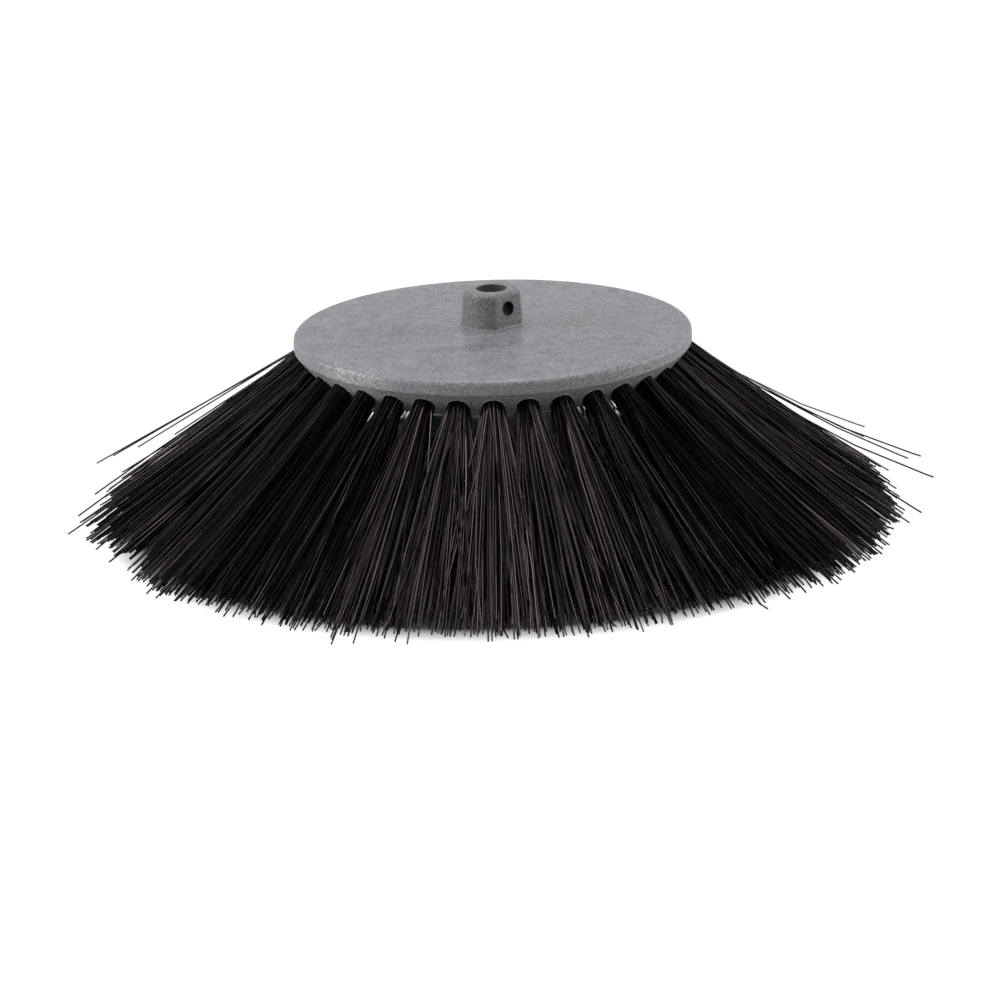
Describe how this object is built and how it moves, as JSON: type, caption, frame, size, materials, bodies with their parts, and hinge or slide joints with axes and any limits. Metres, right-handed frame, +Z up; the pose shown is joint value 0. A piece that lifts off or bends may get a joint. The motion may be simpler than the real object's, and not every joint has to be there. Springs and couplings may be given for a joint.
{
  "type": "sweeper disk brush",
  "caption": "Side brush for a floor sweeper: a grey plastic disc with a bored, cross-drilled hub and a ring of stiff black bristle tufts that slope outwards and down.",
  "frame": {"origin": "on the drive bore's axis, level with the top edge of the disc's rim", "axes": "+Z up along the drive bore, out of the hub's top; +X along the cross hole, square to the hub's flats"},
  "size_m": [0.3953, 0.3946, 0.1116],
  "materials": {
    "foamed_plastic": "grey foamed polypropylene, swirled moulding skin",
    "bristle": "black extruded polypropylene bristle",
    "anchor_wire": "bright flat steel wire"
  },
  "bodies": {
    "root": {"brush_block": "foamed_plastic", "tuft_01": "bristle", "tuft_02": "bristle", "tuft_03": "bristle", "tuft_04": "bristle", "tuft_05": "bristle", "tuft_06": "bristle", "tuft_07": "bristle", "tuft_08": "bristle", "tuft_09": "bristle", "tuft_10": "bristle", "tuft_11": "bristle", "tuft_12": "bristle", "tuft_13": "bristle", "tuft_14": "bristle", "tuft_15": "bristle", "tuft_16": "bristle", "tuft_17": "bristle", "tuft_18": "bristle", "tuft_19": "bristle", "tuft_20": "bristle", "tuft_21": "bristle", "tuft_22": "bristle", "tuft_23": "bristle", "tuft_24": "bristle", "tuft_25": "bristle", "tuft_26": "bristle", "tuft_27": "bristle", "tuft_28": "bristle", "tuft_29": "bristle", "tuft_30": "bristle", "tuft_31": "bristle", "tuft_32": "bristle", "tuft_33": "bristle", "tuft_34": "bristle", "tuft_35": "bristle", "tuft_anchors": "anchor_wire"}
  },
  "joints": []
}
